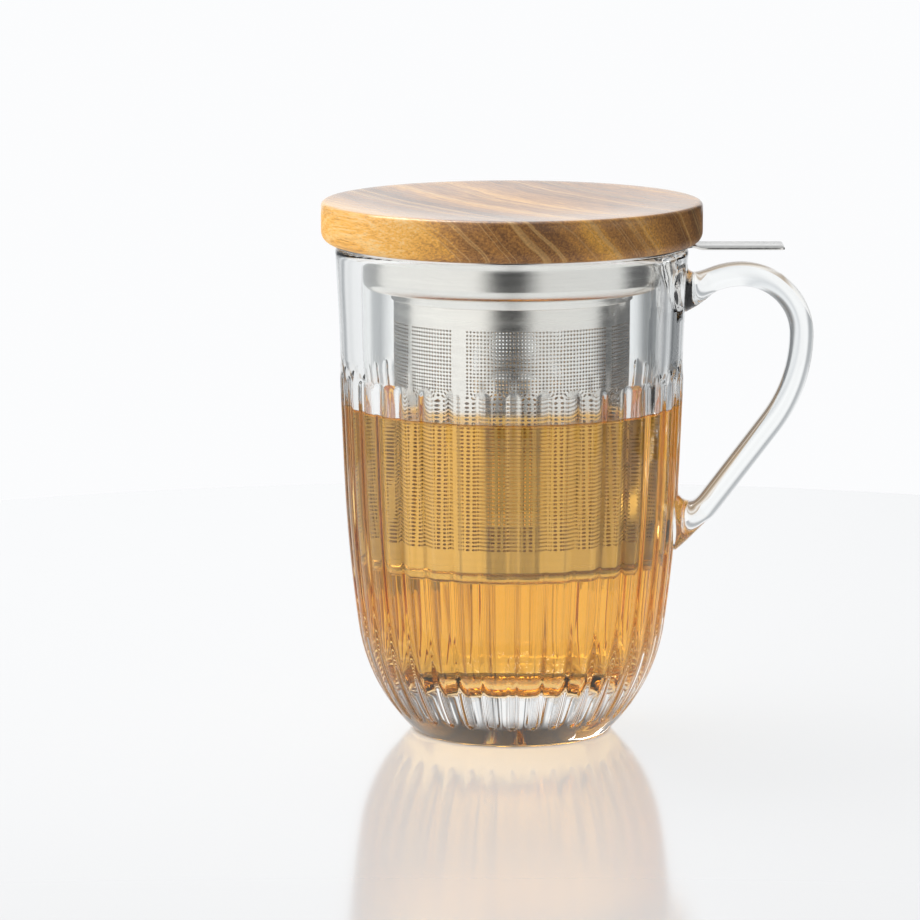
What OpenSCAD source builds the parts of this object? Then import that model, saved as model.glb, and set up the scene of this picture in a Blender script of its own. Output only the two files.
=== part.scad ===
// Lidded tea mug with infuser.
// A pressed-glass mug with a fluted side and a fused loop handle, a stainless steel
// tea basket that hangs from the rim by its flange, and a turned wooden lid that
// sits on the flange and plugs into the basket with a silicone ring.
// Millimetres, +Z up, origin at the centre of the foot, handle towards +X.

/* [Glass body] */
// Height of the glass, from the foot to the rim
mug_h = 118.8; // [114:0.1:126]
// Outside diameter at the rim
rim_d = 85.4; // [84:0.1:88]
// Outside diameter at the shoulder, just above the flutes
shoulder_d = 82.6; // [81:0.1:84]
// Height of the shoulder, where the plain band meets the fluted side
shoulder_z = 88.8; // [82:0.1:96]
// How far the fluted side stands proud of the plain band
side_step = 0.2; // [0.1:0.05:0.5]
// Lean of the straight part of the side, in degrees from upright
side_lean = 2.2; // [1:0.1:3]
// Height where the straight side starts to curve in
side_end_z = 58; // [50:0.5:66]
// Radius of the slow curve below the straight side
belly_r = 240; // [200:5:400]
// Height where the slow curve meets the heel
belly_end_z = 22; // [20:0.5:28]
// Radius of the heel
heel_r = 40; // [38:0.1:50]
// Roundness of the rim, outside
lip_out_r = 2; // [1:0.1:2.4]
// Roundness of the rim, inside
lip_in_r = 1.6; // [1:0.1:2]

/* [Flutes] */
// Number of flutes round the side
flute_count = 36; // [30:1:36]
// Radius of the tool that presses each flute
flute_r = 3.5; // [3:0.1:3.6]
// Depth of a flute
flute_depth = 0.6; // [0.5:0.05:0.7]
// Depth of the centre of a flute's round top below the shoulder
flute_drop = 2.2; // [2.1:0.1:6]
// Height where a flute runs out on the heel
flute_foot_z = 6; // [5:0.5:10]

/* [Inside of the glass] */
// Inside diameter at the mouth
mouth_d = 73; // [72.2:0.1:75]
// Inside diameter where the side meets the round of the floor
well_d = 69.6; // [66:0.1:71]
// Thickness of the glass under the floor
floor_t = 14.5; // [9:0.5:16]
// Radius of the round between side and floor
well_r = 22; // [12:0.5:28]
// Diameter of the hollow under the foot
punt_d = 38; // [30:0.5:42]
// Depth of the hollow under the foot
punt_depth = 1.2; // [0.6:0.1:2]

/* [Handle] */
// Thickness of the handle, seen from the side
handle_t = 5.8; // [4.5:0.1:6.5]
// Width of the handle, seen from its end
handle_w = 10; // [8:0.1:12]
// Height of the top of the loop, below the rim
loop_drop = 7.2; // [6:0.1:10]
// Distance of the top of the loop from the mug's axis
loop_x = 55.4; // [54.5:0.1:60]
// Radius of the upper arch on the mug's side
arch_r = 18; // [16:0.5:20]
// Angle that the upper arch turns through
arch_angle = 27; // [22:1:28]
// Radius of the turn at the outside of the loop
turn_r = 14.7; // [12:0.1:16]
// Radius of the bend that leads back to the mug
bend_r = 35.5; // [30:0.5:40]
// Angle that this bend turns through
bend_angle = 37; // [34:0.5:42]
// Radius of the bend that levels the handle out at its upper root
upper_bend_r = 8; // [6:0.5:9]
// Radius of the bend that levels the handle out at its lower root
lower_bend_r = 10.3; // [9:0.1:12]
// Height of the fused upper root on the glass
upper_root_h = 11; // [9:0.1:13]
// Height of the fused lower root on the glass
lower_root_h = 15.5; // [12:0.1:16.5]
// Width of both fused roots
root_w = 14; // [12:0.1:16]
// How far from the glass a root starts to widen
root_reach = 7; // [5:0.1:8]

/* [Infuser] */
// Thickness of the drawn steel of the collar and the base pan
sheet = 0.6; // [0.4:0.05:0.8]
// Thickness of the perforated steel of the basket
mesh_t = 0.4; // [0.3:0.05:0.5]
// Outside diameter of the flange that rests on the rim
flange_d = 86; // [84:0.1:90]
// Outside diameter of the collar that hangs in the mouth
collar_d = 72; // [68:0.1:72]
// Depth of the collar below the rim
collar_depth = 9.6; // [9:0.1:14]
// Radius of the collar's lower corner
collar_r = 3; // [1.5:0.1:4]
// Outside diameter of the basket
basket_d = 57; // [50:0.1:58]
// Depth of the neck that the basket is welded into, below the collar
neck_h = 2.3; // [1.5:0.1:4]
// Depth of the whole infuser below the rim
infuser_depth = 77.5; // [60:0.5:90]
// Height of the pan that closes the basket
pan_h = 2.8; // [2:0.1:5]
// Radius of the pan's lower corner
pan_r = 1.2; // [0.8:0.1:1.8]
// Reach of the lifting tab from the mug's axis
tab_reach = 65.5; // [58:0.1:70]
// Width of the lifting tab
tab_w = 13.4; // [12:0.1:20]
// Corner radius of the lifting tab
tab_r = 1.2; // [0.8:0.1:3]
// Radius of the fillets between the lifting tab and the flange
tab_root_r = 6; // [3:0.5:8]
// How far the lifting tab is set down below the flange
tab_drop = 0.7; // [0.1:0.1:1]
// Length of the slope between the flange and the set-down tab
tab_slope = 3; // [2:0.5:5]

/* [Lid] */
// Diameter of the lid
lid_d = 92; // [88:0.1:98]
// Thickness of the lid at its edge
lid_t = 10; // [8:0.1:14]
// Radius of the round under the edge
lid_under_r = 2.8; // [1.5:0.1:4]
// Radius of the round on the upper edge
lid_top_r = 1; // [0.5:0.1:2]
// Depth of the dish in the top
dish_depth = 1.2; // [0.5:0.1:2]
// Width of the level ring round the dish
dish_rim = 3; // [2:0.1:6]
// Depth of the spigot that plugs into the collar
spigot_h = 7; // [6:0.1:9]
// Play between the spigot and the collar, on the radius
spigot_gap = 2.8; // [1.2:0.1:3.2]
// Height of the groove for the silicone ring
groove_h = 3; // [2.4:0.1:3.4]
// Depth of the groove for the silicone ring
groove_depth = 1.6; // [1.2:0.1:2]

/* [Fits] */
// Play between the basket and the parts it is welded to
weld_gap = 0.05; // [0.05:0.01:0.1]
// Play between the silicone ring and the collar
seal_gap = 0.2; // [0.1:0.05:0.3]
// Play of the silicone ring in its groove
groove_gap = 0.1; // [0.05:0.01:0.15]

/* [Hidden] */

fn_turned = 120;  // facets of turned forms when previewed
fn_sweep = 360;   // facets of the large outline curves when previewed
fn_tool = 36;     // facets of the flute tool when previewed
fn_round = 48;    // facets of small rounds when previewed
handle_sides = 24; // sides of the handle's oval section
root_rings = 6;    // rings of the sweep in each root
loop_rings = 36;   // rings of the sweep between the roots
over = 1;         // how far a cut runs past the face it opens
press_shift = 0.5; // how far the joints of a flute's path lie above the outline's own

// --- Outline of the glass ----------------------------------------------------
rim_r = rim_d / 2;
shoulder_r = shoulder_d / 2;
side_r = shoulder_r + side_step;
band_lean = atan((rim_r - shoulder_r) / (mug_h - shoulder_z));

// Radius of the straight side at a height
function side_r_at(z) = side_r - (shoulder_z - z) * tan(side_lean);

// Centre of the slow curve, which runs on from the side, and its angle at its lower end
belly_x = side_r_at(side_end_z) - belly_r * cos(side_lean);
belly_z = side_end_z + belly_r * sin(side_lean);
belly_turn = asin((belly_z - belly_end_z) / belly_r);

// Centre of the heel, which runs on from the slow curve
heel_x = belly_x + (belly_r - heel_r) * cos(belly_turn);
heel_z = belly_z - (belly_r - heel_r) * sin(belly_turn);

// The path of a flute, which follows the outline with its joints a little higher up
press_end_z = side_end_z + press_shift;
press_belly_x = side_r_at(press_end_z) - belly_r * cos(side_lean);
press_belly_z = press_end_z + belly_r * sin(side_lean);
press_turn = asin((press_belly_z - belly_end_z - press_shift) / belly_r);
press_heel_x = press_belly_x + (belly_r - heel_r) * cos(press_turn);
press_heel_z = press_belly_z - (belly_r - heel_r) * sin(press_turn);
press_foot_turn = asin((press_heel_z - flute_foot_z) / heel_r);

// Outside radius of the glass at a height
function wall_r_at(z) =
  z >= shoulder_z ? shoulder_r + (z - shoulder_z) * tan(band_lean) :
  z >= side_end_z ? side_r_at(z) :
  z >= belly_end_z ? belly_x + belly_r * cos(asin((belly_z - z) / belly_r)) :
  heel_x + heel_r * cos(asin((heel_z - z) / heel_r));

well_top_z = floor_t + well_r;

// --- Route of the handle, in the plane of the axis ---------------------------
// It leaves the glass level, bends up onto a short stub, rises over an arch, turns down,
// bends back, returns on a straight leg and bends level again to meet the glass.
// Lengths along it start at zero on the glass.
loop_z = mug_h - loop_drop;
arch_z = loop_z - arch_r;
turn_z = loop_z - turn_r;
bend_x = loop_x + turn_r - bend_r;
arch_start = [loop_x - arch_r * sin(arch_angle), arch_z + arch_r * cos(arch_angle)];
leg_start = [bend_x + bend_r * cos(bend_angle), turn_z - bend_r * sin(bend_angle)];
leg_angle = -90 - bend_angle;

// Length of a straight run from a point to the wall, found by repeated correction
function run_to_wall(point, angle, turns, guess) =
  turns == 0 ? guess :
  run_to_wall(point, angle, turns - 1,
    (wall_r_at(point[1] + guess * sin(angle)) - point[0]) / cos(angle));

// Steps from the ends of the arch and the leg, over the bends at the roots
upper_step = [-upper_bend_r * sin(arch_angle), -upper_bend_r * (1 - cos(arch_angle))];
lower_step = [lower_bend_r * sin(leg_angle), -lower_bend_r * (1 + cos(leg_angle))];

stub_l = run_to_wall(arch_start + upper_step, 180 + arch_angle, 8, 2);
leg_l = run_to_wall(leg_start + lower_step, leg_angle, 8, 20);
upper_end = arch_start + upper_step - stub_l * [cos(arch_angle), sin(arch_angle)];
lower_end = leg_start + lower_step + leg_l * [cos(leg_angle), sin(leg_angle)];

stub_start = upper_bend_r * arch_angle * PI / 180;
stub_end = stub_start + stub_l;
arch_end = stub_end + arch_r * arch_angle * PI / 180;
turn_end = arch_end + turn_r * PI / 2;
bend_end = turn_end + bend_r * bend_angle * PI / 180;
leg_end = bend_end + leg_l;
route_l = leg_end + lower_bend_r * (180 + leg_angle) * PI / 180;

// Point and heading of an arc after a length, from its centre, radius and first heading
function on_arc(x, z, r, heading, length) =
  let (now = heading - length / r * 180 / PI) [x - r * sin(now), z + r * cos(now), now];

// Point and heading of a straight run after a length
function on_run(point, heading, length) =
  [point[0] + length * cos(heading), point[1] + length * sin(heading), heading];

// Point [x, z] and heading of the handle at a length from the upper root
function route(s) =
  s < 0 ? on_run(upper_end, 0, s) :
  s < stub_start ? on_arc(upper_end[0], upper_end[1] + upper_bend_r, -upper_bend_r, 0, s) :
  s < stub_end ? on_run(arch_start, arch_angle, s - stub_end) :
  s < arch_end ? on_arc(loop_x, arch_z, arch_r, arch_angle, s - stub_end) :
  s < turn_end ? on_arc(loop_x, turn_z, turn_r, 0, s - arch_end) :
  s < bend_end ? on_arc(bend_x, turn_z, bend_r, -90, s - turn_end) :
  s < leg_end ? on_run(leg_start, leg_angle, s - bend_end) :
  s < route_l ? on_arc(lower_end[0], lower_end[1] + lower_bend_r, lower_bend_r, leg_angle,
                       s - leg_end) :
  on_run(lower_end, -180, s - route_l);

// How far a root has widened at a distance from the glass, from 0 to 1
function flare(d) = pow(max(0, 1 - max(0, d) / root_reach), 2);

// --- Heights and radii of the infuser and the lid ----------------------------
flange_top_z = mug_h + sheet;
collar_out_r = collar_d / 2;
collar_in_r = collar_out_r - sheet;
shelf_z = mug_h - collar_depth;
tube_r = basket_d / 2;
tube_in_r = tube_r - mesh_t;
neck_in_r = tube_r + weld_gap;
neck_out_r = neck_in_r + sheet;
pan_z = mug_h - infuser_depth;
pan_in_r = tube_r + weld_gap;
pan_out_r = pan_in_r + sheet;
lid_r = lid_d / 2;
lid_z = flange_top_z;
spigot_r = collar_in_r - spigot_gap;
groove_r = spigot_r - groove_depth;
groove_z = lid_z - (spigot_h + groove_h) / 2;

// --- Shared shapes -----------------------------------------------------------

// The corner that a convex round of radius r leaves, at the origin, towards -x and -y
module corner(r) {
  difference() {
    translate([-r, -r]) square([r + over, r + over]);
    translate([-r, -r]) circle(r = r, $fn = fn_round);
  }
}

// --- Glass body --------------------------------------------------------------

// Half outline of the glass blank, before flutes and well
module blank_outline() {
  difference() {
    polygon([[0, shoulder_z], [shoulder_r, shoulder_z], [rim_r, mug_h], [0, mug_h]]);
    translate([rim_r, mug_h]) rotate(-band_lean / 2) corner(lip_out_r);
  }
  polygon([[0, side_end_z], [side_r_at(side_end_z), side_end_z],
           [side_r, shoulder_z], [0, shoulder_z]]);
  intersection() {
    translate([belly_x, belly_z]) circle(r = belly_r, $fn = fn_sweep);
    translate([0, belly_end_z]) square([rim_r, side_end_z - belly_end_z]);
  }
  intersection() {
    translate([heel_x, heel_z]) circle(r = heel_r, $fn = fn_sweep);
    square([rim_r, belly_end_z]);
  }
}

module blank() {
  rotate_extrude($fn = fn_turned) blank_outline();
}

// Half outline of the space inside
module well_outline() {
  polygon([[0, well_top_z], [well_d / 2, well_top_z], [mouth_d / 2, mug_h],
           [mouth_d / 2, mug_h + over], [0, mug_h + over]]);
  translate([0, floor_t]) square([well_d / 2 - well_r, well_r]);
  intersection() {
    translate([well_d / 2 - well_r, well_top_z]) circle(r = well_r, $fn = fn_sweep);
    translate([0, floor_t]) square([well_d / 2, well_r]);
  }
  translate([mouth_d / 2, mug_h]) mirror([1, 0]) corner(lip_in_r);
}

module punt() {
  dome_r = (pow(punt_d / 2, 2) + pow(punt_depth, 2)) / (2 * punt_depth);
  rotate_extrude($fn = fn_turned) intersection() {
    translate([0, punt_depth - dome_r]) circle(r = dome_r, $fn = fn_sweep);
    translate([0, -over]) square([punt_d / 2, punt_depth + over]);
  }
}

// A stretch of a flute, pressed by a round tool that follows an arc of the outline
module press(arc_r, from, to) {
  rotate([90, 0, 0]) rotate([0, 0, -to])
    rotate_extrude(angle = to - from, $fn = fn_sweep)
      translate([arc_r + flute_r - flute_depth, 0]) circle(r = flute_r, $fn = fn_tool);
}

// A flute from its round top, down the straight side and the slow curve, to the heel
module flute() {
  lift = flute_r - flute_depth;
  rise = (shoulder_z - flute_drop - press_end_z) / cos(side_lean);
  translate([side_r_at(press_end_z) + lift * cos(side_lean), 0,
             press_end_z - lift * sin(side_lean)]) rotate([0, side_lean, 0]) {
    cylinder(r = flute_r, h = rise, $fn = fn_tool);
    translate([0, 0, rise]) sphere(r = flute_r, $fn = fn_tool);
  }
  translate([press_belly_x, 0, press_belly_z]) press(belly_r, side_lean, press_turn);
  translate([press_heel_x, 0, press_heel_z]) {
    press(heel_r, press_turn, press_foot_turn);
    rotate([0, press_foot_turn, 0]) translate([heel_r + lift, 0, 0])
      sphere(r = flute_r, $fn = fn_tool);
  }
}

module mug_body() {
  color([0.86, 0.92, 0.92, 0.4]) difference() {
    blank();
    for (k = [0 : flute_count - 1])  // a rib, not a flute, stands in the middle of the handle's side
      rotate([0, 0, (k + 0.5) * 360 / flute_count]) flute();
    rotate_extrude($fn = fn_turned) well_outline();
    punt();
  }
}

// --- Handle ------------------------------------------------------------------

// One oval ring of the handle, square to its route
function handle_ring(s) =
  let (at = route(s),
       up = flare(s),
       low = flare(route_l - s),
       heading = at[2],
       t = handle_t + (upper_root_h - handle_t) * up + (lower_root_h - handle_t) * low,
       w = handle_w + (root_w - handle_w) * (up + low))
  [for (k = [0 : handle_sides - 1])
    let (turn = k * 360 / handle_sides, across = t / 2 * cos(turn))
    [at[0] - across * sin(heading), w / 2 * sin(turn), at[1] + across * cos(heading)]];

// Places of the rings: close together in the roots, wider apart along the loop
handle_stops = concat(
  [for (k = [-2 : root_rings]) root_reach * k / root_rings],
  [for (k = [1 : loop_rings - 1])
    root_reach + (route_l - 2 * root_reach) * k / loop_rings],
  [for (k = [-root_rings : 2]) route_l + root_reach * k / root_rings]);

// A closed tube through a list of rings
module sweep(rings) {
  sides = len(rings[0]);
  last = len(rings) - 1;
  polyhedron(
    points = [for (ring = rings) each ring],
    faces = concat(
      [[for (k = [0 : sides - 1]) k]],
      [for (r = [0 : last - 1]) for (k = [0 : sides - 1])
        [r * sides + k, (r + 1) * sides + k,
         (r + 1) * sides + (k + 1) % sides, r * sides + (k + 1) % sides]],
      [[for (k = [sides - 1 : -1 : 0]) last * sides + k]]));
}

module mug_handle() {
  color([0.86, 0.92, 0.92, 0.4]) difference() {
    sweep([for (stop = handle_stops) handle_ring(stop)]);
    blank();
  }
}

// --- Infuser -----------------------------------------------------------------

// Half outline of the drawn collar: flange, wall, corner, shelf and neck
module collar_outline() {
  translate([collar_in_r, mug_h]) square([flange_d / 2 - collar_in_r, sheet]);
  translate([collar_in_r, shelf_z + collar_r]) square([sheet, mug_h + sheet - shelf_z - collar_r]);
  intersection() {
    translate([collar_out_r - collar_r, shelf_z + collar_r]) difference() {
      circle(r = collar_r, $fn = fn_round);
      circle(r = collar_r - sheet, $fn = fn_round);
    }
    translate([collar_out_r - collar_r, shelf_z]) square([collar_r, collar_r]);
  }
  translate([neck_in_r, shelf_z]) square([collar_out_r - collar_r - neck_in_r, sheet]);
  translate([neck_in_r, shelf_z - neck_h]) square([sheet, neck_h + sheet]);
}

// Outline of the lifting tab, seen from above
module tab_outline() {
  start = (mouth_d / 2 + flange_d / 2) / 2;
  fillet_y = tab_w / 2 + tab_root_r;
  fillet_x = sqrt(pow(flange_d / 2 + tab_root_r, 2) - pow(fillet_y, 2));
  touch = flange_d / (flange_d + 2 * tab_root_r) * [fillet_x, fillet_y];
  translate([start, -tab_w / 2]) square([tab_reach - tab_r - start, tab_w]);
  translate([start, -tab_w / 2 + tab_r]) square([tab_reach - start, tab_w - 2 * tab_r]);
  for (side = [-1, 1])
    translate([tab_reach - tab_r, side * (tab_w / 2 - tab_r)]) circle(r = tab_r, $fn = fn_round);
  difference() {
    polygon([[start, -touch[1]], [touch[0], -touch[1]], [fillet_x, -tab_w / 2],
             [fillet_x, tab_w / 2], [touch[0], touch[1]], [start, touch[1]]]);
    for (side = [-1, 1])
      translate([fillet_x, side * fillet_y]) circle(r = tab_root_r, $fn = fn_round);
  }
}

// The tab leaves the flange level, slopes down a little and runs on level
module tab() {
  bend = flange_d / 2;
  intersection() {
    translate([0, 0, mug_h - tab_drop - over]) linear_extrude(sheet + tab_drop + 2 * over)
      tab_outline();
    translate([0, tab_reach, 0]) rotate([90, 0, 0]) linear_extrude(2 * tab_reach)
      polygon([[0, mug_h], [bend, mug_h], [bend + tab_slope, mug_h - tab_drop],
               [tab_reach + over, mug_h - tab_drop], [tab_reach + over, mug_h - tab_drop + sheet],
               [bend + tab_slope, mug_h - tab_drop + sheet], [bend, mug_h + sheet],
               [0, mug_h + sheet]]);
  }
}

module infuser_collar() {
  color("silver") {
    rotate_extrude($fn = fn_turned) collar_outline();
    tab();
  }
}

module infuser_tube() {
  color("gainsboro") rotate_extrude($fn = fn_turned)
    translate([tube_in_r, pan_z + sheet]) square([mesh_t, shelf_z - pan_z]);
}

// Half outline of the pan that closes the basket
module pan_outline() {
  difference() {
    translate([0, pan_z]) square([pan_out_r, pan_h]);
    translate([0, pan_z + sheet]) square([pan_in_r, pan_h]);
    translate([pan_out_r, pan_z]) mirror([0, 1]) corner(pan_r);
  }
}

module infuser_base() {
  color("silver") rotate_extrude($fn = fn_turned) pan_outline();
}

// --- Lid ---------------------------------------------------------------------

module lid_outline() {
  dish_r = lid_r - dish_rim;
  dish_sphere_r = (pow(dish_r, 2) + pow(dish_depth, 2)) / (2 * dish_depth);
  difference() {
    union() {
      translate([0, lid_z]) square([lid_r, lid_t]);
      translate([0, lid_z - spigot_h]) square([spigot_r, spigot_h + over]);
    }
    translate([lid_r, lid_z + lid_t]) corner(lid_top_r);
    translate([lid_r, lid_z]) mirror([0, 1]) corner(lid_under_r);
    translate([spigot_r, lid_z - spigot_h]) mirror([0, 1]) corner(lid_top_r);
    translate([groove_r, groove_z]) square([groove_depth + over, groove_h]);
    intersection() {
      translate([0, lid_z + lid_t - dish_depth + dish_sphere_r])
        circle(r = dish_sphere_r, $fn = fn_sweep);
      translate([0, lid_z + lid_t - dish_depth]) square([dish_r, dish_depth + over]);
    }
  }
}

module lid_disc() {
  color("peru") rotate_extrude($fn = fn_turned) lid_outline();
}

// Half outline of the silicone ring: a band in the groove with a round lip
module seal_outline() {
  band_h = groove_h - 2 * groove_gap;
  lip_r = band_h / 2;
  lip_x = collar_in_r - seal_gap - lip_r;
  translate([groove_r + groove_gap, groove_z + groove_gap])
    square([lip_x - groove_r - groove_gap, band_h]);
  translate([lip_x, groove_z + groove_h / 2]) circle(r = lip_r, $fn = fn_round);
}

module lid_seal() {
  color("whitesmoke") rotate_extrude($fn = fn_turned) seal_outline();
}

mug_body();
mug_handle();
infuser_collar();
infuser_tube();
infuser_base();
lid_disc();
lid_seal();
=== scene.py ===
import bpy
import bmesh
from math import sin, cos, asin, atan2, pi, radians, degrees, sqrt
from mathutils import Vector, Matrix


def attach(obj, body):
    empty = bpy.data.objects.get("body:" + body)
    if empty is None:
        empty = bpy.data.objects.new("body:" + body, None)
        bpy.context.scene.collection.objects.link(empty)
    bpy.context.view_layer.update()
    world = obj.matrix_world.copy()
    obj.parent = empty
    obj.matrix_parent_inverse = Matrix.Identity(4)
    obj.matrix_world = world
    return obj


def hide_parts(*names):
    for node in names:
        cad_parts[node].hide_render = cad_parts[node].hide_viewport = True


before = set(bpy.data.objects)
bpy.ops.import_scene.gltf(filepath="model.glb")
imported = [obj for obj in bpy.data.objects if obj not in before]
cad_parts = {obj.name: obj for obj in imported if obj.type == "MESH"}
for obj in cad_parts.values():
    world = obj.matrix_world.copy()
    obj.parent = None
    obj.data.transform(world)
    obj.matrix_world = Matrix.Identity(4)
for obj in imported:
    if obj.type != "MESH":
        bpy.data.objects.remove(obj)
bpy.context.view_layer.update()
mm = 0.001


# small helpers for meshes

def arc(centre, radius, start, end, steps):
    # points of an arc in the half plane of a turned outline, both ends included
    return [(centre[0] + radius * cos(radians(start + (end - start) * k / steps)),
             centre[1] + radius * sin(radians(start + (end - start) * k / steps)))
            for k in range(steps + 1)]


def turned(outline, steps):
    # spins an outline of (radius, height) in millimetres round the axis
    work = bmesh.new()
    points = [work.verts.new((r, 0, z)) for r, z in outline]
    lines = [work.edges.new(pair) for pair in zip(points, points[1:])]
    bmesh.ops.spin(work, geom=points + lines, cent=(0, 0, 0), axis=(0, 0, 1),
                   angle=2 * pi, steps=steps, use_merge=True)
    bmesh.ops.remove_doubles(work, verts=work.verts, dist=0.0005)
    bmesh.ops.recalc_face_normals(work, faces=work.faces)
    return work


def makeObject(name, work, sharpAngle=30, recalculate=True):
    # millimetres to metres, smooth faces, sharp edges where the surface turns
    bmesh.ops.scale(work, vec=(mm, mm, mm), verts=work.verts)
    if recalculate:
        bmesh.ops.recalc_face_normals(work, faces=work.faces)
    for face in work.faces:
        face.smooth = True
    for edge in work.edges:
        edge.smooth = edge.calc_face_angle(0) < radians(sharpAngle)
    mesh = bpy.data.meshes.new(name)
    work.to_mesh(mesh)
    work.free()
    piece = bpy.data.objects.new(name, mesh)
    bpy.context.scene.collection.objects.link(piece)
    return piece


def dress(piece, material, body, nodes=()):
    piece.data.materials.clear()
    piece.data.materials.append(material)
    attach(piece, body)
    if nodes:
        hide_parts(*nodes)
    return piece


def bake(piece):
    # turns the modifiers of a piece into its mesh
    graph = bpy.context.evaluated_depsgraph_get()
    mesh = bpy.data.meshes.new_from_object(piece.evaluated_get(graph))
    piece.modifiers.clear()
    piece.data = mesh
    return piece


def setUp(thing, place, aim):
    # puts a lamp or a camera in its place and turns it to what it looks at
    thing.location = place
    thing.rotation_euler = (Vector(aim) - Vector(place)).to_track_quat("-Z", "Y").to_euler()
    bpy.context.scene.collection.objects.link(thing)


# small helpers for node trees

def addNode(tree, kind, settings=(), **inputs):
    node = tree.nodes.new(kind)
    for name, value in dict(settings).items():
        setattr(node, name, value)
    for name, value in inputs.items():
        setInput(tree, node, name.replace("_", " "), value)
    return node


def setInput(tree, node, name, value):
    socket = node.inputs[int(name)] if name.isdigit() else node.inputs[name]
    if isinstance(value, bpy.types.NodeSocket):
        tree.links.new(value, socket)
    else:
        socket.default_value = value


def mathNode(tree, operation, a, b=0.0, c=0.0):
    node = addNode(tree, "ShaderNodeMath", {"operation": operation})
    for index, value in enumerate((a, b, c)):
        setInput(tree, node, str(index), value)
    return node.outputs[0]


def dotNode(tree, vector, direction):
    node = addNode(tree, "ShaderNodeVectorMath", {"operation": "DOT_PRODUCT"})
    tree.links.new(vector, node.inputs[0])
    node.inputs[1].default_value = direction
    return node.outputs["Value"]


def rampNode(tree, factor, stops):
    node = addNode(tree, "ShaderNodeValToRGB")
    tree.links.new(factor, node.inputs["Fac"])
    ramp = node.color_ramp
    while len(ramp.elements) < len(stops):
        ramp.elements.new(0.5)
    for element, (place, colour) in zip(ramp.elements, stops):
        element.position = place
        element.color = (*colour, 1) if len(colour) == 3 else colour
    return node.outputs["Color"]


def mixColours(tree, factor, a, b, blend="MIX"):
    node = addNode(tree, "ShaderNodeMix", {"data_type": "RGBA", "blend_type": blend})
    for index, value in ((0, factor), (6, a), (7, b)):
        if isinstance(value, bpy.types.NodeSocket):
            tree.links.new(value, node.inputs[index])
        elif index == 0:
            node.inputs[index].default_value = value
        else:
            node.inputs[index].default_value = (*value, 1)
    return node.outputs[2]


def mixShaders(tree, factor, first, second):
    mix = tree.nodes.new("ShaderNodeMixShader")
    for index, socket in enumerate((factor, first.outputs[0], second.outputs[0])):
        tree.links.new(socket, mix.inputs[index])
    return mix


def axisDistance(tree, split):
    # distance from the vertical axis, from a place that is split into X, Y and Z
    squares = [mathNode(tree, "MULTIPLY", split.outputs[axis], split.outputs[axis])
               for axis in (0, 1)]
    return mathNode(tree, "SQRT", mathNode(tree, "ADD", *squares))


def turnRound(tree, split):
    # the direction round the axis, from 0 to 1, with 0.5 at the front and 0.75 at the right
    turn = mathNode(tree, "ARCTAN2", split.outputs[0],
                    mathNode(tree, "MULTIPLY", split.outputs[1], -1.0))
    return mathNode(tree, "ADD", mathNode(tree, "DIVIDE", turn, 2 * pi), 0.5)


def grey(value):
    return (value, value, value)


def newMaterial(name):
    material = bpy.data.materials.new(name)
    material.use_nodes = True
    tree = material.node_tree
    tree.nodes.clear()
    output = tree.nodes.new("ShaderNodeOutputMaterial")
    return material, tree, output


def throughForLamps(tree, output, shader, shadowTint):
    # light from the lamp passes straight through, so that it reaches what stands inside
    path = addNode(tree, "ShaderNodeLightPath")
    clear = addNode(tree, "ShaderNodeBsdfTransparent", Color=(*shadowTint, 1))
    mix = mixShaders(tree, path.outputs["Is Shadow Ray"], shader, clear)
    tree.links.new(mix.outputs[0], output.inputs["Surface"])


# materials

glassLook = {"tint": (0.985, 0.995, 0.99), "shadow": (0.96, 0.98, 0.97), "ior": 1.5,
             "rippleSize": 90, "ripple": 0.015}


def makeGlass():
    material, tree, output = newMaterial("pressedGlass")
    place = addNode(tree, "ShaderNodeTexCoord").outputs["Object"]
    ripple = addNode(tree, "ShaderNodeTexNoise", Vector=place, Scale=glassLook["rippleSize"],
                     Detail=1.0)
    bump = addNode(tree, "ShaderNodeBump", Strength=glassLook["ripple"], Distance=0.001,
                   Height=ripple.outputs[0])
    glass = addNode(tree, "ShaderNodeBsdfPrincipled", Base_Color=(*glassLook["tint"], 1),
                    Roughness=0.0, IOR=glassLook["ior"], Transmission_Weight=1.0,
                    Normal=bump.outputs[0])
    throughForLamps(tree, output, glass, glassLook["shadow"])
    return material


teaLook = {"tint": (1.0, 0.6, 0.144), "shadow": (1.0, 0.85, 0.6), "ior": 1.33,
           "depthColour": (0.96, 0.76, 0.13), "density": 18.0}


def makeTea():
    material, tree, output = newMaterial("amberTea")
    tea = addNode(tree, "ShaderNodeBsdfPrincipled", Base_Color=(*teaLook["tint"], 1),
                  Roughness=0.0, IOR=teaLook["ior"], Transmission_Weight=1.0)
    throughForLamps(tree, output, tea, teaLook["shadow"])
    depth = addNode(tree, "ShaderNodeVolumeAbsorption", Color=(*teaLook["depthColour"], 1),
                    Density=teaLook["density"])
    tree.links.new(depth.outputs[0], output.inputs["Volume"])
    return material


brushLook = {"waveSize": 22.0, "wave": 0.01, "low": 0.3, "high": 0.7}


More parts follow.
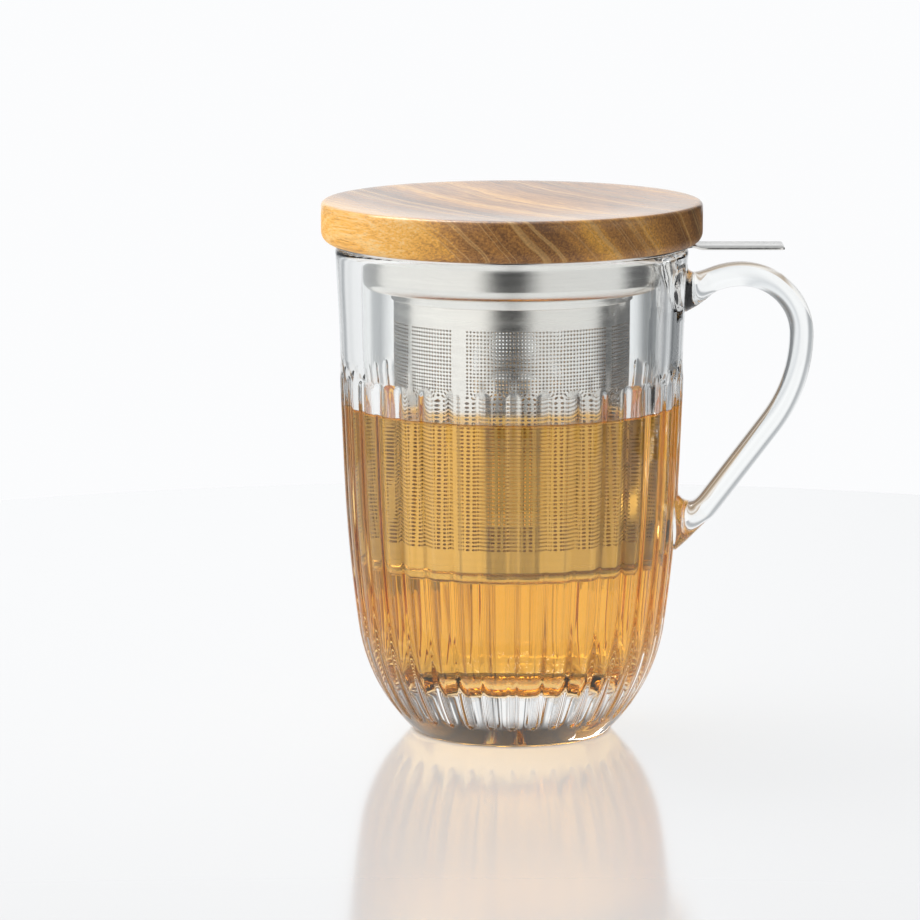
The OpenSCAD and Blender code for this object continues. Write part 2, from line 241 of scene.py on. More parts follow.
def makeBrushGroup():
    # fine lines that run round the axis, as drawn and polished sheet shows
    group = bpy.data.node_groups.new("roundBrushing", "ShaderNodeTree")
    for name in ("Line density", "Roughness low", "Roughness high"):
        group.interface.new_socket(name, in_out="INPUT", socket_type="NodeSocketFloat")
    for name in ("Roughness", "Lines"):
        group.interface.new_socket(name, in_out="OUTPUT", socket_type="NodeSocketFloat")
    given = group.nodes.new("NodeGroupInput")
    result = group.nodes.new("NodeGroupOutput")
    place = addNode(group, "ShaderNodeTexCoord").outputs["Object"]
    split = addNode(group, "ShaderNodeSeparateXYZ", Vector=place)
    slow = addNode(group, "ShaderNodeTexNoise", Vector=place, Scale=brushLook["waveSize"],
                   Detail=2.0)
    along = addNode(group, "ShaderNodeCombineXYZ", X=axisDistance(group, split), Y=split.outputs[2],
                    Z=mathNode(group, "MULTIPLY", slow.outputs[0], brushLook["wave"]))
    lines = addNode(group, "ShaderNodeTexNoise", Vector=along.outputs[0],
                    Scale=given.outputs["Line density"], Detail=3.0, Roughness=0.6)
    rough = addNode(group, "ShaderNodeMapRange", Value=lines.outputs[0],
                    From_Min=brushLook["low"], From_Max=brushLook["high"],
                    To_Min=given.outputs["Roughness low"], To_Max=given.outputs["Roughness high"])
    group.links.new(rough.outputs[0], result.inputs["Roughness"])
    group.links.new(lines.outputs[0], result.inputs["Lines"])
    return group


drawnLook = {"colour": (0.85, 0.84, 0.815), "roughLow": 0.15, "roughHigh": 0.26,
             "lineDensity": 900, "lineDepth": 0.15, "lineShade": 0.93,
             "filmTop": 0.0, "filmDull": 0.07}
meshLook = {"colour": (0.92, 0.905, 0.87), "roughLow": 0.18, "roughHigh": 0.28,
            "lineDensity": 600, "lineDepth": 0.1, "lineShade": 0.93,
            "filmTop": 0.08, "filmDull": 0.07}


def makeSteel(name, group, look):
    material, tree, output = newMaterial(name)
    brush = tree.nodes.new("ShaderNodeGroup")
    brush.node_tree = group
    brush.inputs["Line density"].default_value = look["lineDensity"]
    brush.inputs["Roughness low"].default_value = look["roughLow"]
    brush.inputs["Roughness high"].default_value = look["roughHigh"]
    darker = tuple(look["lineShade"] * part for part in look["colour"])
    shade = rampNode(tree, brush.outputs["Lines"],
                     [(brushLook["low"], darker), (brushLook["high"], look["colour"])])
    bump = addNode(tree, "ShaderNodeBump", Strength=look["lineDepth"], Distance=0.00005,
                   Height=brush.outputs["Lines"])
    # a thin film makes what lies below filmTop, in metres, a little duller
    height = addNode(tree, "ShaderNodeSeparateXYZ",
                     Vector=addNode(tree, "ShaderNodeTexCoord").outputs["Object"])
    film = addNode(tree, "ShaderNodeMapRange", Value=height.outputs[2], From_Min=look["filmTop"] - mm,
                   From_Max=look["filmTop"], To_Min=look["filmDull"], To_Max=0.0)
    steel = addNode(tree, "ShaderNodeBsdfPrincipled", Base_Color=shade, Metallic=1.0,
                    Roughness=mathNode(tree, "ADD", brush.outputs["Roughness"], film.outputs[0]),
                    Normal=bump.outputs[0])
    tree.links.new(steel.outputs[0], output.inputs["Surface"])
    return material


woodLook = {
    "grain": Vector((0.5, -0.866, 0.0)),      # the way the fibres run
    "layers": Vector((0.631, 0.364, 0.685)),  # across the growth layers
    "light": (0.86, 0.43, 0.06),
    "middle": (0.46, 0.205, 0.045),
    "dark": (0.17, 0.07, 0.018),
    "streak": (0.85, 0.56, 0.22),
    "warpGrain": (0.02, 0.05, 0.05),   # noise steps per millimetre, along and across the fibres
    "fibreGrain": (0.12, 2.0, 2.0),
    "poreGrain": (0.5, 5.0, 5.0),
    "warp": 5.0,             # how far the layers wave, in millimetres
    "bandsPerMm": 0.16,
    "linesPerMm": 0.4,
    "acrossBoard": (6.31, 3.64, 0),    # turns a place in metres into a part of the ramp of zones
    "bandPart": 0.5,         # how much each changes the tone or the colour
    "fibrePart": 0.85,
    "linePart": 0.4,
    "porePart": 0.55,
    "zones": [(0.05, 0.78), (0.2, 0.7), (0.27, 0.36), (0.38, 0.3), (0.47, 0.5), (0.62, 0.42),
              (0.72, 0.3), (0.85, 0.5)],   # place across the board, tone
    "polishLow": 126.5,      # the coat fades in between these heights
    "polishHigh": 129.0,
    "sideCoat": 0.05,
    "coatRough": 0.13,
    "roughDark": 0.6,        # how rough the dark and the light fibres are
    "roughLight": 0.45,
    "relief": 0.25,
}


def makeWood():
    material, tree, output = newMaterial("oiledWood")
    place = addNode(tree, "ShaderNodeTexCoord").outputs["Object"]
    grain = woodLook["grain"].normalized()
    layers = woodLook["layers"].normalized()
    inMm = [mathNode(tree, "MULTIPLY", dotNode(tree, place, way), 1 / mm)
            for way in (grain, layers, grain.cross(layers))]
    layer = inMm[1]

    def stretched(rates):
        parts = [mathNode(tree, "MULTIPLY", part, rate) for part, rate in zip(inMm, rates)]
        return addNode(tree, "ShaderNodeCombineXYZ", X=parts[0], Y=parts[1], Z=parts[2]).outputs[0]

    warp = addNode(tree, "ShaderNodeTexNoise", Vector=stretched(woodLook["warpGrain"]), Scale=1.0,
                   Detail=2.0)
    growth = mathNode(tree, "ADD", layer, mathNode(tree, "MULTIPLY", warp.outputs[0], woodLook["warp"]))
    bands = addNode(tree, "ShaderNodeTexNoise", {"noise_dimensions": "1D"}, Scale=1.0,
                    Detail=3.0, Roughness=0.6,
                    W=mathNode(tree, "MULTIPLY", growth, woodLook["bandsPerMm"]))
    thin = addNode(tree, "ShaderNodeTexNoise", {"noise_dimensions": "1D"}, Scale=1.0,
                   Detail=1.0, W=mathNode(tree, "MULTIPLY", growth, woodLook["linesPerMm"]))
    fibre = addNode(tree, "ShaderNodeTexNoise", Vector=stretched(woodLook["fibreGrain"]), Scale=1.0,
                    Detail=4.0, Roughness=0.65)
    pores = addNode(tree, "ShaderNodeTexNoise", Vector=stretched(woodLook["poreGrain"]), Scale=1.0,
                    Detail=1.0)
    # broad dark and light zones that follow the fibres across the board
    zone = rampNode(tree, mathNode(tree, "ADD", 0.5, dotNode(tree, place, woodLook["acrossBoard"])),
                    [(spot, grey(value)) for spot, value in woodLook["zones"]])

    def centred(noise, part):
        return mathNode(tree, "MULTIPLY", mathNode(tree, "SUBTRACT", noise.outputs[0], 0.5), part)

    tone = mathNode(tree, "ADD", zone, mathNode(
        tree, "ADD", centred(bands, woodLook["bandPart"]), centred(fibre, woodLook["fibrePart"])))
    colour = rampNode(tree, tone, [(0.2, woodLook["dark"]), (0.45, woodLook["middle"]),
                                   (0.68, woodLook["light"]), (0.85, woodLook["streak"])])
    line = rampNode(tree, thin.outputs[0], [(0.57, grey(0)), (0.63, grey(1)), (0.69, grey(0))])
    colour = mixColours(tree, mathNode(tree, "MULTIPLY", line, woodLook["linePart"]), colour,
                        woodLook["streak"])
    spots = rampNode(tree, pores.outputs[0], [(0.3, (0.55, 0.5, 0.45)), (0.42, grey(1))])
    colour = mixColours(tree, woodLook["porePart"], colour, spots, "MULTIPLY")
    rough = addNode(tree, "ShaderNodeMapRange", Value=fibre.outputs[0],
                    To_Min=woodLook["roughDark"], To_Max=woodLook["roughLight"])
    bump = addNode(tree, "ShaderNodeBump", Strength=woodLook["relief"], Distance=0.0002,
                   Height=mathNode(tree, "ADD", fibre.outputs[0], pores.outputs[0]))
    # the top is polished more than the turned side
    polish = addNode(tree, "ShaderNodeMapRange", Value=dotNode(tree, place, (0, 0, 1)),
                     From_Min=woodLook["polishLow"] * mm, From_Max=woodLook["polishHigh"] * mm,
                     To_Min=woodLook["sideCoat"], To_Max=1.0)
    wood = addNode(tree, "ShaderNodeBsdfPrincipled", Base_Color=colour,
                   Roughness=rough.outputs[0], Normal=bump.outputs[0],
                   Coat_Weight=polish.outputs[0], Coat_Roughness=woodLook["coatRough"])
    tree.links.new(wood.outputs[0], output.inputs["Surface"])
    return material


sealLook = {"low": (0.72, 0.73, 0.71), "high": (0.82, 0.82, 0.8), "bloomSize": 260.0,
            "roughLow": 0.42, "roughHigh": 0.6, "milk": 0.2, "milkReach": (0.002, 0.002, 0.0018)}


def makeSilicone():
    material, tree, output = newMaterial("milkySilicone")
    place = addNode(tree, "ShaderNodeTexCoord").outputs["Object"]
    bloom = addNode(tree, "ShaderNodeTexNoise", Vector=place, Scale=sealLook["bloomSize"],
                    Detail=3.0)
    shade = rampNode(tree, bloom.outputs[0], [(0.3, sealLook["low"]), (0.7, sealLook["high"])])
    rough = addNode(tree, "ShaderNodeMapRange", Value=bloom.outputs[0],
                    To_Min=sealLook["roughLow"], To_Max=sealLook["roughHigh"])
    rubber = addNode(tree, "ShaderNodeBsdfPrincipled", Base_Color=shade,
                     Roughness=rough.outputs[0], Subsurface_Weight=sealLook["milk"],
                     Subsurface_Radius=sealLook["milkReach"])
    tree.links.new(rubber.outputs[0], output.inputs["Surface"])
    return material


pressedGlass = makeGlass()
amberTea = makeTea()
roundBrushing = makeBrushGroup()
drawnSteel = makeSteel("drawnSteel", roundBrushing, drawnLook)
meshSteel = makeSteel("perforatedSteel", roundBrushing, meshLook)
oiledWood = makeWood()
milkySilicone = makeSilicone()
print("materials made")


# the glass: one turned body with pressed flutes, and the handle fused to it

glass = {
    "height": 118.8, "rimRadius": 42.7, "shoulderRadius": 41.35, "shoulder": 88.0,
    "blendLow": 84.0, "blendHigh": 92.0, "sideRadius": 41.6, "lean": 2.35, "sideEnd": 63.9,
    "bellyRadius": 384.0, "bellyEnd": 26.0, "heelRadius": 44.4,
    "mouthRadius": 36.5, "wellRadius": 34.8, "wellRound": 22.0, "floor": 14.5,
    "puntRadius": 19.0, "puntDepth": 1.2, "steps": 720,
}
flutes = {"count": 36, "halfWidth": 2.25, "depth": 0.62, "top": 88.7, "bottom": 5.0,
          "ribCrown": 0.1, "turn": 0.0}


def sideRadius(z):
    return glass["sideRadius"] - (glass["shoulder"] - z) * sin(radians(glass["lean"]))


lean = radians(glass["lean"])
bellyCentre = (sideRadius(glass["sideEnd"]) - glass["bellyRadius"] * cos(lean),
               glass["sideEnd"] + glass["bellyRadius"] * sin(lean))
bellyTurn = asin((bellyCentre[1] - glass["bellyEnd"]) / glass["bellyRadius"])
heelCentre = (bellyCentre[0] + (glass["bellyRadius"] - glass["heelRadius"]) * cos(bellyTurn),
              bellyCentre[1] - (glass["bellyRadius"] - glass["heelRadius"]) * sin(bellyTurn))


def bandRadius(z):
    part = max(0, z - glass["shoulder"]) / (glass["height"] - glass["shoulder"])
    return glass["shoulderRadius"] + (glass["rimRadius"] - glass["shoulderRadius"]) * part ** 1.3


def arcRadius(centre, radius, z):
    # radius of the outline at a height, on an arc of the outline
    return centre[0] + radius * cos(asin((centre[1] - z) / radius))


def outsideRadius(z):
    if z >= glass["sideEnd"]:
        blend = (z - glass["blendLow"]) / (glass["blendHigh"] - glass["blendLow"])
        blend = min(1, max(0, blend))
        blend *= blend * (3 - 2 * blend)
        return sideRadius(z) * (1 - blend) + bandRadius(z) * blend
    if z >= glass["bellyEnd"]:
        return arcRadius(bellyCentre, glass["bellyRadius"], z)
    return arcRadius(heelCentre, glass["heelRadius"], z)


def wellRadius(z):
    base, bend = glass["floor"] + glass["wellRound"], glass["wellRound"]
    if z >= base:
        part = (z - base) / (glass["height"] - base)
        return glass["wellRadius"] + (glass["mouthRadius"] - glass["wellRadius"]) * part
    return glass["wellRadius"] - bend + sqrt(max(0, bend ** 2 - (base - z) ** 2))


def steps(start, end, count):
    return [start + (end - start) * k / count for k in range(1, count + 1)]


def glassOutline():
    dome = (glass["puntRadius"] ** 2 + glass["puntDepth"] ** 2) / (2 * glass["puntDepth"])
    outline = [(r, sqrt(dome ** 2 - r ** 2) - dome + glass["puntDepth"])
               for r in (0, 4, 8, 12, 15, 17.5)]
    outline += [(18.6, 0.12), (19.4, 0.0), (21.5, 0.0), (22.9, 0.02), (23.7, 0.16), (24.25, 0.45)]
    heights = steps(0.6, 3.0, 5) + steps(3.0, 8.0, 16) + steps(8.0, 30.0, 15)
    heights += steps(30.0, 84.0, 14) + steps(84.0, 89.0, 18)
    heights += [90, 91, 92, 94, 97, 100, 103, 106, 109, 112, 114.5, 116.3]
    outline += [(outsideRadius(z), z) for z in heights]
    rim = glass["rimRadius"] - 0.05
    outline += arc((rim - 2.0, glass["height"] - 2.0), 2.0, 12, 90, 7)
    outline += arc((glass["mouthRadius"] + 1.6, glass["height"] - 1.6), 1.6, 90, 180, 6)
    base = glass["floor"] + glass["wellRound"]
    outline += [(wellRadius(z), z) for z in (110, 90, 70, 50, base + 0.01)]
    outline += arc((glass["wellRadius"] - glass["wellRound"], base), glass["wellRound"], 0, -90, 12)[1:]
    outline += [(8, glass["floor"]), (4, glass["floor"]), (0, glass["floor"])]
    return outline


def fluteShift(turn, z, radius):
    pitch = 360 / flutes["count"]
    away = (turn - flutes["turn"]) % pitch
    away = min(away, pitch - away)          # degrees from the middle of a flute
    half = radians(flutes["halfWidth"]) * radius
    across = radians(away) * radius
    beyond = max(0, z - (flutes["top"] - half), (flutes["bottom"] + half) - z)
    reach = (across ** 2 + beyond ** 2) / half ** 2
    shift = -flutes["depth"] * max(0, 1 - reach)
    rib = (radians(pitch / 2 - away) * radius / half) ** 2
    if flutes["bottom"] < z < flutes["top"]:
        fade = min(1, (flutes["top"] - z) / 2, (z - flutes["bottom"]) / 2)
        shift += flutes["ribCrown"] * fade * max(0, 1 - rib)
    return shift


def pressFlutes(work):
    for vert in work.verts:
        radius = sqrt(vert.co.x ** 2 + vert.co.y ** 2)
        z = vert.co.z
        if 3 < z < flutes["top"] + 1 and radius > outsideRadius(z) - 0.02:
            shift = fluteShift(degrees(atan2(vert.co.y, vert.co.x)), z, radius)
            vert.co.x *= 1 + shift / radius
            vert.co.y *= 1 + shift / radius


handle = {
    "thick": 5.8, "wide": 10.0, "loopDrop": 7.2, "loopX": 55.4, "archRadius": 18.0,
    "archAngle": 27.0, "turnRadius": 14.7, "bendRadius": 35.5, "bendAngle": 37.0,
    "upperBend": 8.0, "lowerBend": 10.3, "upperRoot": 11.0, "lowerRoot": 15.5,
    "rootWide": 13.0, "rootReach": 7.0, "sink": 2.2, "step": 0.8, "sides": 32, "square": 2.5,
}


def runToWall(start, angle, guess):
    for k in range(8):
        guess = (outsideRadius(start[1] + guess * sin(angle)) - start[0]) / cos(angle)
    return guess


def handleRoute():
    # places (x, z, heading, length) along the handle, from inside the upper root to inside the
    # lower one; the length is zero where the upper root leaves the glass
    top = glass["height"] - handle["loopDrop"]
    rise, back = radians(handle["archAngle"]), -pi / 2 - radians(handle["bendAngle"])
    above, below = handle["upperBend"], handle["lowerBend"]
    arch = handle["archRadius"]
    stubEnd = (handle["loopX"] - (arch + above) * sin(rise),
               top - arch + arch * cos(rise) - above * (1 - cos(rise)))
    stub = runToWall(stubEnd, pi + rise, 2)
    bendX = handle["loopX"] + handle["turnRadius"] - handle["bendRadius"]
    legStart = (bendX - handle["bendRadius"] * sin(back) + below * sin(back),
                top - handle["turnRadius"] + handle["bendRadius"] * cos(back) - below * (1 + cos(back)))
    leg = runToWall(legStart, back, 20)
    runs = [(handle["sink"], 0), (above * rise, 1 / above), (stub, 0), (arch * rise, -1 / arch),
            (handle["turnRadius"] * pi / 2, -1 / handle["turnRadius"]),
            (handle["bendRadius"] * radians(handle["bendAngle"]), -1 / handle["bendRadius"]),
            (leg, 0), (below * (pi + back), -1 / below), (handle["sink"], 0)]
    x = stubEnd[0] - stub * cos(rise) - handle["sink"]
    z, heading, length = stubEnd[1] - stub * sin(rise), 0.0, -handle["sink"]
    route = [(x, z, heading, length)]
    for run, bend in runs:
        count = max(1, round(run / handle["step"]))
        for k in range(count):
            part = run / count
            turn = part * bend
            chord = 2 * sin(turn / 2) / bend if bend else part
            x, z = x + chord * cos(heading + turn / 2), z + chord * sin(heading + turn / 2)
            heading, length = heading + turn, length + part
            route.append((x, z, heading, length))
    return route


def sweptHandle():
    work = bmesh.new()
    route = handleRoute()
    end = route[-1][3] - handle["sink"]
    loops = []
    for x, z, heading, length in route:
        high = length < end / 2
        gap = max(0, length if high else end - length)
        grow = max(0, 1 - gap / handle["rootReach"]) ** 2
        root = handle["upperRoot"] if high else handle["lowerRoot"]
        thick = handle["thick"] + (root - handle["thick"]) * grow
        wide = handle["wide"] + (handle["rootWide"] - handle["wide"]) * grow ** 2
        ring = bmesh.ops.create_circle(work, cap_ends=False, segments=handle["sides"],
                                       radius=1)["verts"]
        for vert in ring:   # a little squarer than an ellipse
            power = handle["square"]
            vert.co *= (abs(vert.co.x) ** power + abs(vert.co.y) ** power) ** (-1 / power)
        bmesh.ops.scale(work, vec=(thick / 2, wide / 2, 1), verts=ring)
        # the ring's first axis points across the route, in the plane of the axis
        across = Vector((-sin(heading), 0, cos(heading)))
        ahead = Vector((cos(heading), 0, sin(heading)))
        place = Matrix((across, Vector((0, 1, 0)), ahead)).transposed().to_4x4()
        place.translation = (x, 0, z)
        bmesh.ops.transform(work, matrix=place, verts=ring)
        loops.append(list({edge for vert in ring for edge in vert.link_edges}))
    for first, second in zip(loops, loops[1:]):
        bmesh.ops.bridge_loops(work, edges=first + second)
    bmesh.ops.holes_fill(work, edges=[edge for edge in work.edges if edge.is_boundary], sides=0)
    bmesh.ops.recalc_face_normals(work, faces=work.faces)
    return work


body = turned(glassOutline(), glass["steps"])
pressFlutes(body)
mugGlass = makeObject("mugGlass", body, 24)
loop = makeObject("handleLoop", sweptHandle(), 60)
fuse = mugGlass.modifiers.new("fuseHandle", "BOOLEAN")
fuse.operation = "UNION"
fuse.solver = "EXACT"
fuse.object = loop
bake(mugGlass)
bpy.data.objects.remove(loop)
dress(mugGlass, pressedGlass, "mug", ("mug_body", "mug_handle"))
print("glass made:", len(mugGlass.data.polygons), "faces")


# the tea, which reaches a little into the glass so that no film of air is left between them

tea = {"level": 79.5, "overlap": 0.12, "creep": 0.9, "creepWidth": 2.4, "steps": 240}


def teaOutline():
    grow = tea["overlap"]
    base = glass["floor"] + glass["wellRound"]
    outline = [(0, glass["floor"] - grow), (6, glass["floor"] - grow)]
    outline += arc((glass["wellRadius"] - glass["wellRound"], base), glass["wellRound"] + grow, -90, 0, 16)
    outline += [(wellRadius(z) + grow, z) for z in (45, 55, 65, 75)]
    edge = wellRadius(tea["level"]) + grow
    outline.append((edge, tea["level"] + tea["creep"]))
    for k in range(1, 7):
        part = k / 6
        outline.append((edge - tea["creepWidth"] * part, tea["level"] + tea["creep"] * (1 - part) ** 2))
    return outline + [(20, tea["level"]), (10, tea["level"]), (0, tea["level"])]


teaBody = makeObject("teaFill", turned(teaOutline(), tea["steps"]), 40)
dress(teaBody, amberTea, "mug")
print("tea made")


# the infuser's collar, with its flange and lifting tab

collar = {"flangeRadius": 43.0, "radius": 36.0, "sheet": 0.6, "corner": 3.0, "shelf": 109.2,
          "neckRadius": 29.15, "neckEnd": 106.9, "steps": 192}
tab = {"start": 39.0, "reach": 65.5, "wide": 13.4, "corner": 1.2, "rootRound": 6.0,
       "drop": 0.7, "slopeStart": 43.0, "slope": 3.0, "thick": 0.56}


def sheetOutline():
    rim = glass["height"]
    outline = [(collar["flangeRadius"], rim), (collar["radius"] + 3, rim)]
    outline += arc((collar["radius"] + 0.7, rim - 0.7), 0.7, 90, 180, 5)
    outline += [(collar["radius"], 116), (collar["radius"], 114)]
    outline += arc((collar["radius"] - collar["corner"], collar["shelf"] + collar["corner"]),
                   collar["corner"], 0, -90, 10)
    outline += arc((collar["neckRadius"] + 0.2, collar["shelf"] - 0.2), 0.2, 90, 180, 3)
    return outline + [(collar["neckRadius"], collar["neckEnd"])]


def sheetPiece(name, outline, turnSteps, thickness):
    work = turned(outline, turnSteps)
    piece = makeObject(name, work, 30)
    wall = piece.modifiers.new("wall", "SOLIDIFY")
    wall.thickness = thickness * mm
    wall.use_even_offset = True
    sample = max(piece.data.polygons, key=lambda f: f.center.z)
    wall.offset = 1 if sample.normal.z > 0 else -1
    return piece


collarPiece = sheetPiece("collarSheet", sheetOutline(), collar["steps"], collar["sheet"])
edge = collarPiece.modifiers.new("edge", "BEVEL")
edge.width = 0.12 * mm
edge.segments = 2
edge.limit_method = "ANGLE"
edge.angle_limit = radians(50)
bake(collarPiece)
dress(collarPiece, drawnSteel, "infuser", ("infuser_collar",))


def tabPiece():
    # a strip of cross lines: fillets at the flange, straight sides, round corners
    half, round0, corner = tab["wide"] / 2, tab["rootRound"], tab["corner"]
    filletY = half + round0
    filletX = sqrt((collar["flangeRadius"] + round0) ** 2 - filletY ** 2)
    touch = collar["flangeRadius"] / (collar["flangeRadius"] + round0)
    places = [(tab["start"], touch * filletY)]
    for k in range(13):
        x = touch * filletX + (filletX - touch * filletX) * k / 12
        places.append((x, filletY - sqrt(round0 ** 2 - (x - filletX) ** 2)))
    places += [(x, half) for x in (48.5, 54, 60)]
    for k in range(8):
        turn = pi / 2 * k / 7
        places.append((tab["reach"] - corner + corner * sin(turn), half - corner + corner * cos(turn)))
    work = bmesh.new()
    lines = []
    for x, y in places:
        down = min(1, max(0, (x - tab["slopeStart"]) / tab["slope"]))
        z = glass["height"] + 0.02 - tab["drop"] * down * down * (3 - 2 * down)
        lines.append([work.verts.new((x, side * y, z)) for side in (-1, 1)])
    for first, second in zip(lines, lines[1:]):
        work.faces.new(first + second[::-1])
    grown = bmesh.ops.extrude_face_region(work, geom=work.faces[:])["geom"]
    bmesh.ops.translate(work, vec=(0, 0, tab["thick"]),
                        verts=[item for item in grown if isinstance(item, bmesh.types.BMVert)])
    bmesh.ops.recalc_face_normals(work, faces=work.faces)
    rims = [edge for edge in work.edges if abs(edge.verts[0].co.z - edge.verts[1].co.z) < 0.3
            and edge.calc_face_angle(0) > 1]
    bmesh.ops.bevel(work, geom=rims, offset=0.1, affect="EDGES", segments=2, profile=0.5,
                    material=-1)
    return makeObject("liftingTab", work, 30)


dress(tabPiece(), drawnSteel, "infuser", ("infuser_collar",))
print("collar and tab made")


# the perforated basket: six sheets side by side, each with its plain margins

basket = {
    "radius": 28.5, "sheet": 0.4, "low": 41.9, "high": 109.0,
    "firstRow": 49.6, "rows": 58, "rowPitch": 0.9105, "hole": 0.28,
}
sectors = (  # name; start and end, first and last column, in degrees from the front; columns
    ("A", -56.0, -25.6, -53.6, -30.0, 15),
    ("B", -25.6, 51.0, -21.4, 48.1, 42),
    ("C", 51.0, 126.4, 54.1, 123.6, 42),
    ("D", 126.4, 202.2, 129.6, 199.2, 42),
    ("E", 202.2, 277.2, 205.4, 274.0, 41),
    ("F", 277.2, 304.0, 280.6, 301.4, 13),
)


def perforatedSheet(start, end, first, last, columns):
    work = bmesh.new()
    arcPerDegree = radians(basket["radius"])
    pitch = (last - first) * arcPerDegree / (columns - 1)
    ring = bmesh.ops.create_circle(work, cap_ends=False, segments=8,
                                   radius=basket["hole"])["verts"]
    rim = list({edge for vert in ring for edge in vert.link_edges})
    skirt = bmesh.ops.extrude_edge_only(work, edges=rim)["geom"]
    for vert in [item for item in skirt if isinstance(item, bmesh.types.BMVert)]:
        vert.co /= max(abs(vert.co.x), abs(vert.co.y))
        vert.co.x *= pitch / 2
        vert.co.y *= basket["rowPitch"] / 2
    bmesh.ops.translate(work, vec=(first * arcPerDegree, basket["firstRow"], 0), verts=work.verts)
    for count, shift in ((basket["rows"], (0, basket["rowPitch"], 0)), (columns, (pitch, 0, 0))):
        block = work.verts[:] + work.edges[:] + work.faces[:]
        for k in range(1, count):
            copy = bmesh.ops.duplicate(work, geom=block)["geom"]
            bmesh.ops.translate(work, vec=Vector(shift) * k,
                                verts=[item for item in copy if isinstance(item, bmesh.types.BMVert)])
    bmesh.ops.remove_doubles(work, verts=work.verts, dist=0.002)

    def growEdge(axis, sign, goal, count):
        # carries one straight side of the sheet outwards, in even strips
        extreme = sign * max(sign * vert.co[axis] for vert in work.verts)
        side = [edge for edge in work.edges if edge.is_boundary
                and all(abs(vert.co[axis] - extreme) < 0.01 for vert in edge.verts)]
        for k in range(1, count + 1):
            grown = bmesh.ops.extrude_edge_only(work, edges=side)["geom"]
            for item in grown:
                if isinstance(item, bmesh.types.BMVert):
                    item.co[axis] = extreme + (goal - extreme) * k / count
            side = [item for item in grown if isinstance(item, bmesh.types.BMEdge)
                    and all(abs(vert.co[axis] - (extreme + (goal - extreme) * k / count)) < 1e-4
                            for vert in item.verts)]

    growEdge(1, -1, basket["low"], 1)
    growEdge(1, 1, basket["high"], 1)
    growEdge(0, -1, start * arcPerDegree, 3)
    growEdge(0, 1, end * arcPerDegree, 3)
    for vert in work.verts:   # rolls the flat sheet up
        turn = vert.co.x / basket["radius"]
        vert.co = (basket["radius"] * sin(turn), -basket["radius"] * cos(turn), vert.co.y)
    bmesh.ops.recalc_face_normals(work, faces=work.faces)
    work.faces.ensure_lookup_table()
    sample = work.faces[0]
    centre = sample.calc_center_median()
    if sample.normal.dot(Vector((centre.x, centre.y, 0))) < 0:
        bmesh.ops.reverse_faces(work, faces=work.faces[:])
    bmesh.ops.solidify(work, geom=work.faces[:], thickness=basket["sheet"])
    return work


for name, start, end, first, last, columns in sectors:
    sector = makeObject("basketSheet" + name, perforatedSheet(start, end, first, last, columns), 40,
                        recalculate=False)
    dress(sector, meshSteel, "infuser", ("infuser_tube",))
print("basket sheets made")


# the pan that closes the basket

pan = {"radius": 29.15, "low": 41.3, "high": 44.1, "corner": 1.3, "sheet": 0.5}


def panOutline():
    outline = [(0, pan["low"]), (10, pan["low"]), (20, pan["low"])]
    outline += arc((pan["radius"] - pan["corner"], pan["low"] + pan["corner"]), pan["corner"], -90, 0, 6)
    return outline + [(pan["radius"], pan["high"])]


panWork = turned(panOutline(), 160)
panPiece = makeObject("basketPan", panWork, 30)
wall = panPiece.modifiers.new("wall", "SOLIDIFY")
wall.thickness = pan["sheet"] * mm
lowest = min(panPiece.data.polygons, key=lambda f: f.center.z)
wall.offset = -1 if lowest.normal.z < 0 else 1
bake(panPiece)
dress(panPiece, drawnSteel, "infuser", ("infuser_base",))
print("pan made")


# the turned wooden lid, with the spigot that plugs into the collar

lid = {"radius": 46.0, "low": 119.4, "thick": 10.0, "underRound": 2.8, "topRound": 1.1,
       "dishRadius": 43.0, "dishDepth": 1.2, "spigotRadius": 32.6, "spigotDrop": 7.0,
       "grooveRadius": 31.2, "grooveLow": 114.4, "grooveHigh": 117.4, "steps": 256}


def lidOutline():
    top = lid["low"] + lid["thick"]
    dish = (lid["dishRadius"] ** 2 + lid["dishDepth"] ** 2) / (2 * lid["dishDepth"])
    outline = [(r, top - lid["dishDepth"] + dish - sqrt(dish ** 2 - r ** 2))
               for r in (0, 8, 16, 24, 31, 37, 41, 42.6)]
    outline += [(43.3, top - 0.02), (44.0, top)]
    outline += arc((lid["radius"] - lid["topRound"], top - lid["topRound"]), lid["topRound"], 90, 0, 6)
    outline += arc((lid["radius"] - lid["underRound"], lid["low"] + lid["underRound"]),
                   lid["underRound"], 0, -90, 8)
    foot = lid["low"] - lid["spigotDrop"]
    outline += [(lid["spigotRadius"], lid["low"]), (lid["spigotRadius"], lid["grooveHigh"]),
                (lid["grooveRadius"], lid["grooveHigh"]), (lid["grooveRadius"], lid["grooveLow"]),
                (lid["spigotRadius"], lid["grooveLow"])]
    outline += arc((lid["spigotRadius"] - 1, foot + 1), 1, 0, -90, 5)
    return outline + [(20, foot), (0, foot)]


lidPiece = makeObject("lidWood", turned(lidOutline(), lid["steps"]), 35)
dress(lidPiece, oiledWood, "lid", ("lid_disc",))
print("lid made")


# the silicone ring is the one of the solids model, with a material of its own

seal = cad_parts["lid_seal"]
seal.data.materials.clear()
seal.data.materials.append(milkySilicone)
print("seal dressed")


# the room: a pale table in front of a white backdrop, rows of panels, one lamp and the camera

